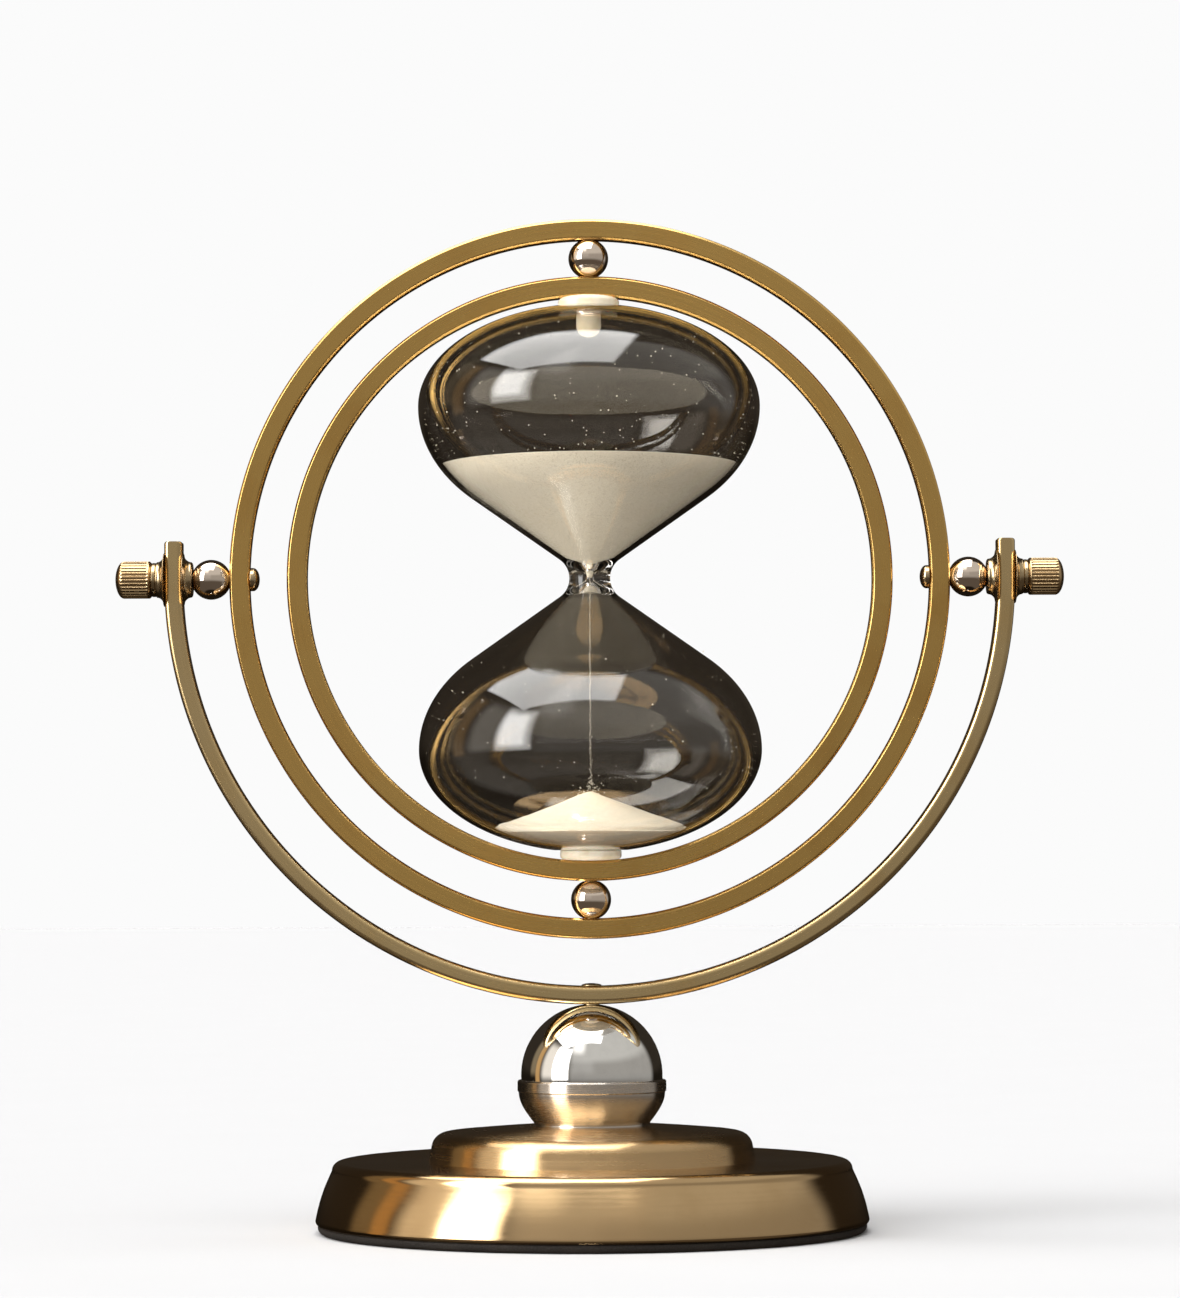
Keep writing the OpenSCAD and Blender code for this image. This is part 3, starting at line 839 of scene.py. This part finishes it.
def make_ring(name, outer_r, material, body, node, holes):
    """A chamfered bar ring with its radial holes, each given as a radius and a direction."""
    middle = outer_r - RING_BAR / 2
    section = rectangle(RING_BAR, RING_DEPTH, RING_CHAMFER, True)
    outline = [(middle + u, v) for u, v in brace(soften(section, 0.16, 4, True), closed=True)]
    piece = lathe(name, outline, in_ring_plane, RING_STEPS, closed=True)
    for radius, place in holes:
        drill(piece, radius, middle, place)
    dress(piece, material, body, "satin_brass", node)


def make_pivot_pins():
    """The pins that the outer ring tumbles on, with domed heads inside it."""
    head_r = 2.9
    brim = 0.8
    sunk = 0.1
    bore_r = OUTER_R - RING_BAR
    for name, side in mirrored_sides():
        node = f"{name}_pivot_pin"
        head, tip = span_x(node)
        outline = oval(0, bore_r - brim, head_r, head - bore_r + brim, 90, 0, 14)
        outline[0] = (0, head)
        outline += [(head_r, bore_r - sunk), (PIN_R, bore_r - sunk), (PIN_R, tip), (0, tip)]
        piece = turned(f"{name}_dome_pin", outline, on_side(side), edge=0.15)
        dress(piece, pivot_brass, "outer_frame", "aged_brass", node)


def spacer_outline(middle, length, radius):
    """A ball drilled through and faced flat at both ends."""
    half = length / 2
    reach = math.degrees(math.asin(half / radius))
    outline = [(HOLE_R, middle - half)]
    outline += arc(0, middle, radius, -reach, reach, 48)
    outline += [(HOLE_R, middle + half)]
    return outline


def make_bead(name, place, middle, length, radius):
    """A spacer ball that lies on a side or a pole."""
    outline = spacer_outline(middle, length, radius)
    piece = turned(f"{name}_bead", outline, place, SMALL_STEPS, 0.1, closed=True)
    dress(piece, champagne_metal, "outer_frame", "champagne_metal", f"{name}_spacer_ball")


def make_spacer_balls():
    """The four polished balls between the rings, and between ring and half ring."""
    for name, side in mirrored_sides():
        start = low(f"{name}_spacer_ball")
        end = high(f"{name}_spacer_ball")
        make_bead(name, on_side(side), abs(start.x + end.x) / 2, end.x - start.x, end.y)
    for name, up in poles():
        start = low(f"{name}_spacer_ball")
        end = high(f"{name}_spacer_ball")
        make_bead(name, on_pole(up), abs((start.z + end.z) / 2 - AXIS_Z), end.z - start.z, end.x)


def make_axle_pins():
    """Headless pins whose outer ends are domed just level with the outer ring."""
    dome = 0.14
    for name, up in poles():
        node = f"{name}_axle_pin"
        start = (low(node).z if up > 0 else high(node).z) - AXIS_Z
        outline = [(0, abs(start)), (PIN_R, abs(start))]
        outline += oval(0, OUTER_R - dome, PIN_R, dome, 0, 90, 8)
        outline[-1] = (0, OUTER_R)
        piece = turned(f"{name}_axle", outline, on_pole(up), edge=0.08)
        dress(piece, pole_brass, "outer_frame", "aged_brass", node)


# ---- Inner ring ----

def bulb_outline(neck, inset, fine=3):
    """One bulb's side from the neck's middle to its pole: a hollow fillet, a cone and two quarter ovals."""
    rx = BULB_R - inset
    shoulder = SHOULDER_H - inset
    dome = DOME_H - inset
    lean = math.degrees(math.atan(CONE_SLOPE))
    tangent = math.degrees(math.atan(CONE_SLOPE * shoulder / rx))
    oval_foot = BULB_MID - shoulder * math.sin(math.radians(tangent))
    apex = rx * math.cos(math.radians(tangent)) - CONE_SLOPE * oval_foot
    fillet = (neck - apex) * math.cos(math.radians(lean)) / (1 - math.cos(math.radians(lean)))
    points = arc(neck + fillet, 0, fillet, 180, 180 - lean, 8 * fine)
    cone_start = points[-1]
    shoulder_arc = oval(0, BULB_MID, rx, shoulder, -tangent, 0, 12 * fine)
    points += [between(cone_start, shoulder_arc[0], i / 6) for i in range(1, 6)]
    points += shoulder_arc
    points += oval(0, BULB_MID, rx, dome, 0, 90, 22 * fine)[1:]
    return points


def make_caps():
    """A flange bedded on the ring's bore, drilled for the axle pin, and a round-nosed plug."""
    cap_r = high("top_cap").x
    shoulder = 0.9
    bore = INNER_R - RING_BAR - PRESS_GAP
    plug_tip = low("top_cap").z - AXIS_Z
    foot = GLASS_END + RUNNING_GAP
    slack = 0.35
    hole_floor = low("top_axle_pin").z - AXIS_Z - slack
    for name, up in poles():
        outline = arc(0, plug_tip + PLUG_R, PLUG_R, -90, 0, 16)
        outline[0] = (0, plug_tip)
        outline += [(PLUG_R, foot), (cap_r, foot), (cap_r, bore - shoulder)]
        outline += [(cap_r - shoulder - 0.5 * i, bore) for i in range(10)]
        outline += [(HOLE_R, bore), (HOLE_R, hole_floor), (0, hole_floor)]

        def bedded(radius, along, angle):
            return radius, min(along, math.sqrt(bore ** 2 - (radius * math.cos(angle)) ** 2))

        piece = turned(f"{name}_plug", outline, on_pole(up), LATHE_STEPS, 0.35, reshape=bedded)
        dress(piece, nylon, "inner_frame", "cream_nylon", f"{name}_cap")


def make_glass():
    """Two bulbs blown as one, with a softened mouth round the plug hole in each end."""
    outside = [p for p in bulb_outline(NECK_R, 0) if p[1] < GLASS_END]
    end_r = BULB_R * math.sqrt(1 - ((GLASS_END - BULB_MID) / DOME_H) ** 2)
    inside = [p for p in bulb_outline(ORIFICE_R, GLASS_WALL) if p[0] > PLUG_HOLE_R or p[1] < BULB_MID]
    inner_dome = DOME_H - GLASS_WALL
    hole_z = BULB_MID + inner_dome * math.sqrt(1 - (PLUG_HOLE_R / (BULB_R - GLASS_WALL)) ** 2)
    corners = [(end_r, GLASS_END), (PLUG_HOLE_R, GLASS_END), (PLUG_HOLE_R, hole_z)]
    mouth = soften([outside[-1]] + corners + [inside[-1]], 0.3)
    upper = outside + mouth[1:-1] + inside[::-1]
    lower = [(r, -z) for r, z in upper[::-1]]
    outline = upper[:-1] + lower[:-1]
    piece = lathe("bulbs", outline, on_pole(1), LATHE_STEPS, closed=True, sharp=60)
    piece.visible_shadow = False
    dress(piece, glass, "inner_frame", "smoke_glass", "glass_bulbs")


def ripple(radius, angle):
    """Small unevenness of a sand surface, from a few waves that don't repeat together."""
    x = radius * math.cos(angle)
    y = radius * math.sin(angle)
    broad = math.sin(0.31 * x + 0.4) * math.cos(0.27 * y - 1.1) + 0.5 * math.sin(0.53 * x - 0.61 * y)
    fine = 0.25 * math.sin(1.9 * x + 0.7 * y) * math.cos(1.6 * y - 0.5 * x)
    return broad + fine


def make_upper_sand():
    """Sand that fills the cone of the upper bulb, level on top with a shallow pit over the neck."""
    pit_r = 9
    pit_depth = 2.0
    level_z = SAND_LEVEL - 0.1
    wall = [p for p in bulb_outline(ORIFICE_R - SAND_GAP, GLASS_WALL + SAND_GAP) if p[1] < SAND_LEVEL]
    slope = CONE_SLOPE * (SAND_LEVEL - wall[-1][1])
    rim_r = wall[-1][0] + 0.8 * slope
    top = []
    for i in range(60):
        radius = rim_r * (1 - i / 60)
        sink = pit_depth * max(0.0, 1 - radius / pit_r) ** 1.3
        top.append((radius, level_z - sink))
    outline = [(0, 0.05), (wall[0][0], 0.05)] + wall[1:] + top + [(0, level_z - pit_depth)]

    def level(radius, along, angle):
        if along < SAND_LEVEL - 3 or radius > rim_r - 0.01:
            return radius, along
        fade = min(1.0, (rim_r - radius) / 2)
        return radius, along + 0.07 * fade * ripple(radius, angle)

    piece = lathe("upper_sand", outline, on_pole(1), LATHE_STEPS, reshape=level, sharp=60)
    dress(piece, packed_sand, "inner_frame", "cream_sand", "sand_upper")


def make_mound():
    """The poured mound: a soft peak, easing slopes, and a blunt uneven edge that rests on the glass."""
    edge = 0.9
    wall = [(r, z) for r, z in bulb_outline(ORIFICE_R - SAND_GAP, GLASS_WALL + SAND_GAP) if r > PLUG_HOLE_R]
    rim_z = MOUND_PEAK + MOUND_DROP
    rim_r = MOUND_RIM + edge
    below = [p for p in wall if p[1] > rim_z and p[0] < rim_r - 0.05]
    side = BULB_R - GLASS_WALL - SAND_GAP
    dome = DOME_H - GLASS_WALL - SAND_GAP
    wall_z = BULB_MID + dome * math.sqrt(1 - (rim_r / side) ** 2)
    surface = []
    for i in range(1, 80):
        radius = MOUND_RIM * i / 80
        share = max(0.0, 1 - math.hypot(radius, 0.8) / MOUND_RIM)
        surface.append((radius, rim_z - MOUND_DROP * share ** 1.2))
    corners = [(MOUND_RIM + 0.7 * edge, rim_z + 0.3 * edge), (rim_r, rim_z + edge), (rim_r, wall_z - 0.1)]
    blunt = soften([surface[-1]] + corners, 0.6, 4)
    outline = [(0, surface[0][1])] + surface + blunt[1:] + below + [(0, below[-1][1])]

    def settle(radius, along, angle):
        if radius > MOUND_RIM - 6 and along < wall_z - 0.12:
            reach = min(1.0, (radius - MOUND_RIM + 6) / 6)
            ragged = 0.45 * ripple(9 + 2 * math.cos(3 * angle), angle) - 0.6
            radius += min(0.0, ragged) * reach
        if along > rim_z - 0.01:
            return radius, along
        fade = min(1.0, radius / 3)
        return radius, along + 0.16 * fade * ripple(radius, angle)

    piece = lathe("mound", outline, on_pole(-1), LATHE_STEPS, reshape=settle, sharp=60)
    dress(piece, loose_sand, "inner_frame", "cream_sand", "sand_lower")


def make_stream():
    """The thread of falling grains, with a few strays beside it where it lands."""
    chance = random.Random(11)
    spots = []
    depth = 0.4
    while depth < MOUND_PEAK - 0.1:
        share = depth / MOUND_PEAK
        drift = 0.06 + 0.16 * share
        x = chance.gauss(0, drift)
        y = chance.gauss(0, drift)
        spots.append(((x, y, AXIS_Z - depth), chance.uniform(0.1, 0.17)))
        depth += chance.uniform(0.12, 0.3 + 0.3 * share)
    for _ in range(70):
        reach = abs(chance.gauss(0, 3.2))
        angle = chance.uniform(0, 2 * math.pi)
        height = MOUND_PEAK - abs(chance.gauss(0.6, 1.6)) + 0.42 * reach
        place = (reach * math.cos(angle), reach * math.sin(angle), AXIS_Z - height)
        spots.append((place, chance.uniform(0.1, 0.17)))
    piece = scatter("stream", spots, 12)
    dress(piece, loose_sand, "inner_frame", "cream_sand", "sand_stream")


def make_clinging_grains():
    """Grains that static holds on the inside of the bulbs, thickest just above the upper sand."""
    chance = random.Random(23)
    wall = bulb_outline(ORIFICE_R, GLASS_WALL)
    upper = (1, 230, SAND_LEVEL + 0.5, 62, 1.9)
    lower = (-1, 90, 12, 56, 1.0)

    def wall_radius(height):
        """The widest that the wall gets at that height above the neck."""
        pairs = zip(wall, wall[1:])
        return max(b[0] for a, b in pairs if min(a[1], b[1]) <= height <= max(a[1], b[1]))

    spots = []
    for up, count, start, end, lean in (upper, lower):
        for _ in range(count):
            height = start + (end - start) * chance.random() ** lean
            size = chance.uniform(0.09, 0.21)
            angle = chance.uniform(0, 2 * math.pi)
            inside = wall_radius(height) - size - SAND_GAP
            place = (inside * math.cos(angle), inside * math.sin(angle), AXIS_Z + up * height)
            spots.append((place, size))
    piece = scatter("clinging_grains", spots, 24)
    piece.data.materials.append(loose_sand)
    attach(piece, "inner_frame")


# ---- Thumb nuts ----

def make_nuts():
    """Domed nuts with round-bottomed flutes that run out before the dome."""
    flutes = 32
    flute_r = 0.32
    foot = 0.5
    dome = 2.2
    for name, side in mirrored_sides():
        node = f"{name}_thumb_nut"
        nut_r = high(node).z - AXIS_Z
        start, tip = span_x(node)
        shoulder = tip - dome
        flute_start = start + foot + 0.3
        outline = [(0, shoulder - 1), (HOLE_R, shoulder - 1), (HOLE_R, start)]
        outline += [(nut_r - foot, start), (nut_r, start + foot)]
        outline += [(nut_r, flute_start + 0.15 * i) for i in range(8)]
        outline += [(nut_r, shoulder - 0.6)]
        outline += oval(0, shoulder, nut_r, dome, 0, 90, 24)
        outline[-1] = (0, tip)

        def fluted(radius, along, angle, nut_r=nut_r, flute_start=flute_start):
            pitch = 2 * math.pi / flutes
            offset = math.remainder(angle, pitch) * nut_r
            if abs(offset) >= flute_r or along < flute_start - 0.3 or radius < 3:
                return radius, along
            run_in = min(1.0, (along - flute_start + 0.3) / 0.6)
            centre = nut_r + 0.08 + (1 - run_in) * flute_r
            return min(radius, centre - math.sqrt(flute_r ** 2 - offset ** 2)), along

        shaped = brace(soften(outline, 0.14))
        piece = lathe(f"{name}_knurled_nut", shaped, on_side(side), flutes * 14, reshape=fluted, sharp=50)
        dress(piece, nut_brass, f"{name}_nut", "brushed_brass", node)


# ---- Camera, light and floor ----

BACKDROP = 0.965


def make_camera():
    data = bpy.data.cameras.new("camera")
    data.lens = 124.8
    data.sensor_width = 36
    data.sensor_fit = "AUTO"
    camera = bpy.data.objects.new("camera", data)
    bpy.context.scene.collection.objects.link(camera)
    camera.location = (0, -1.123, 0.0896)
    aim = Vector((0, 0, 0.1447)) - camera.location
    roll = Quaternion((0, 0, 1), math.radians(-0.25))
    camera.rotation_euler = (aim.to_track_quat("-Z", "Y") @ roll).to_euler()
    bpy.context.scene.camera = camera


def make_world():
    """A dark studio with soft panels for the object, and a plain pale backdrop for the camera."""
    world = bpy.data.worlds.new("studio")
    world.use_nodes = True
    bpy.context.scene.world = world
    g = Graph(world.node_tree)
    direction = g.add("ShaderNodeTexCoord").outputs["Generated"]
    x, y, z = g.split(direction)
    azimuth = g.math("DEGREES", g.math("ARCTAN2", x, g.math("MULTIPLY", y, -1.0)))
    elevation = g.math("DEGREES", g.math("ARCSINE", z))
    height = g.math("MAXIMUM", z, 0.05)
    overhead_x = g.math("DIVIDE", x, height)
    overhead_y = g.math("DIVIDE", y, height)

    def panel(total, first, first_range, second, second_range, soft, colour):
        """Adds a soft-edged panel, over a range of each of two coordinates."""
        share = None
        for value, (start, end) in ((first, first_range), (second, second_range)):
            rise = g.ramp(value, start - soft, start + soft)
            fall = g.ramp(value, end - soft, end + soft, 1.0, 0.0)
            both = g.math("MULTIPLY", rise, fall)
            share = both if share is None else g.math("MULTIPLY", share, both)
        return g.vector("ADD", total, g.scaled(colour, share))

    upward = g.ramp(z, -0.05, 0.08)
    total = g.vector("ADD", g.scaled((0.02, 0.016, 0.012), upward), (0.012, 0.009, 0.006))
    panels = (
        # The key light to the left: its soft edge, its core, its dim flank and two strips beyond
        ((-68, -40), (-5, 41), 2.5, (4.0, 3.95, 3.85)),
        ((-66, -45), (2, 36), 4.0, (6.0, 6.0, 6.0)),
        ((-90, -66), (-4, 40), 6.0, (0.95, 0.88, 0.78)),
        ((-105, -95), (-8, 40), 2.5, (0.55, 0.32, 0.12)),
        ((-119, -105), (0, 40), 4.0, (0.22, 0.17, 0.10)),
        # A high panel, and the wide fill to the right with its brighter upper part
        ((-44, -16), (38, 80), 8.0, (0.9, 0.88, 0.85)),
        ((-38, 116), (-8, 78), 7.0, (0.34, 0.33, 0.31)),
        ((-38, 116), (24, 78), 7.0, (0.22, 0.22, 0.21)),
        # A faint panel in front, and what the floor throws back
        ((-34, 2), (6, 26), 7.0, (0.08, 0.08, 0.08)),
        ((-100, 120), (-62, -8), 5.0, (0.09, 0.075, 0.06)),
    )
    for azimuths, elevations, soft, colour in panels:
        total = panel(total, azimuth, azimuths, elevation, elevations, soft, colour)
    total = panel(total, overhead_x, (-0.95, 0.27), overhead_y, (-0.66, 0.36), 0.03, (5.0, 5.0, 4.95))
    total = g.vector("MAXIMUM", total, (0.0, 0.0, 0.0))
    studio = g.add("ShaderNodeBackground")
    g.feed(studio.inputs["Color"], total)
    backdrop = g.add("ShaderNodeBackground")
    g.feed(backdrop.inputs["Color"], rgba((BACKDROP, BACKDROP, BACKDROP)))
    choose = g.add("ShaderNodeMixShader")
    g.feed(choose.inputs[0], g.add("ShaderNodeLightPath").outputs["Is Camera Ray"])
    g.feed(choose.inputs[1], studio.outputs[0])
    g.feed(choose.inputs[2], backdrop.outputs[0])
    output = g.add("ShaderNodeOutputWorld")
    g.feed(output.inputs["Surface"], choose.outputs[0])


def make_fill_light(name, strength, up):
    """A very wide light from straight above or below that doesn't show in the metal or the glass. The one
    below stands for what the floor throws back, which the glass would otherwise keep from the sand."""
    data = bpy.data.lights.new(name, "SUN")
    data.energy = strength
    data.angle = math.radians(150)
    light = bpy.data.objects.new(name, data)
    bpy.context.scene.collection.objects.link(light)
    if not up:
        light.rotation_euler = (math.pi, 0, 0)
    light.visible_glossy = False
    light.visible_transmission = False
    data.cycles.use_multiple_importance_sampling = False


def make_floor():
    """A pale matte floor that meets the backdrop with hardly a line."""
    reach = 6.0
    mesh = bpy.data.meshes.new("floor")
    corners = [(-reach, -reach, 0), (reach, -reach, 0), (reach, reach, 0), (-reach, reach, 0)]
    mesh.from_pydata(corners, [], [(0, 1, 2, 3)])
    floor = bpy.data.objects.new("floor", mesh)
    bpy.context.scene.collection.objects.link(floor)
    material, g, shader = new_material("pale_floor")
    mottle = g.noise(g.spot((0, 0, 0)), 0.02, 3.0)
    shade = g.mix(mottle, rgba((0.508, 0.511, 0.524)), rgba((0.520, 0.523, 0.537)))
    g.feed(shader.inputs["Base Color"], shade)
    shader.inputs["Roughness"].default_value = 0.9
    shader.inputs["Specular IOR Level"].default_value = 0.0
    mesh.materials.append(material)
    floor.visible_glossy = False
    floor.visible_transmission = False
    floor.visible_shadow = False


make_pad()
make_shell()
make_step()
make_cup()
make_ball()
make_yoke()
make_collars()
make_tie_rod()
make_ring("outer_hoop", OUTER_R, outer_ring_brass, "outer_frame", "outer_ring",
          [(PIN_R + PRESS_GAP, place) for place in (on_side(-1), on_side(1), on_pole(-1), on_pole(1))])
make_pivot_pins()
make_spacer_balls()
make_axle_pins()
make_ring("inner_hoop", INNER_R, inner_ring_brass, "inner_frame", "inner_ring",
          [(HOLE_R, on_pole(-1)), (HOLE_R, on_pole(1))])
make_caps()
make_glass()
make_upper_sand()
make_mound()
make_stream()
make_clinging_grains()
make_nuts()

for node, material in (("base_weight", iron), ("tie_washer", plain_steel), ("tie_nut", plain_steel)):
    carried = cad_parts[node]
    carried.data.materials.clear()
    carried.data.materials.append(material)

make_camera()
make_world()
make_fill_light("soft_top", 0.2, True)
make_fill_light("floor_bounce", 1.8, False)
make_floor()
bpy.context.scene.view_settings.view_transform = "Standard"
